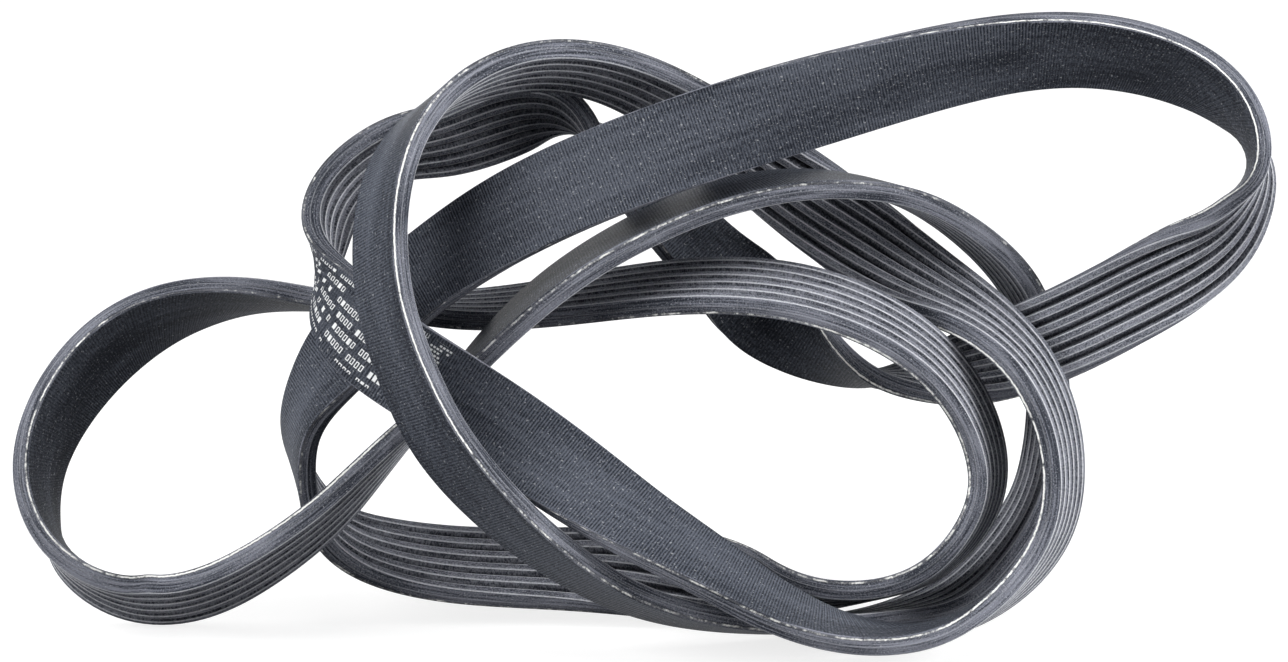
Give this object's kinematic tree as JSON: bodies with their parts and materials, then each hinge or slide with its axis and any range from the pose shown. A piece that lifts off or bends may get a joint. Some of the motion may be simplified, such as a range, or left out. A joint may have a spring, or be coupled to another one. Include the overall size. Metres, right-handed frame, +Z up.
{
  "type": "serpentine belt",
  "caption": "Endless ribbed rubber drive belt with a smooth back, lying loose in overlapping loops.",
  "frame": {"origin": "on the surface that the belt rests on, under the middle of its bounding box", "axes": "+Z up, +X along the longest spread of the loops, towards the long single loop, -Y towards the side that shows the belt's front strands"},
  "size_m": [0.2958, 0.094, 0.1488],
  "materials": {
    "rubber": "matte black moulded rubber, smooth fabric-marked back, grainy ribs and cut side faces with a pale cord line"
  },
  "bodies": {
    "root": {"belt": "rubber"}
  },
  "joints": []
}
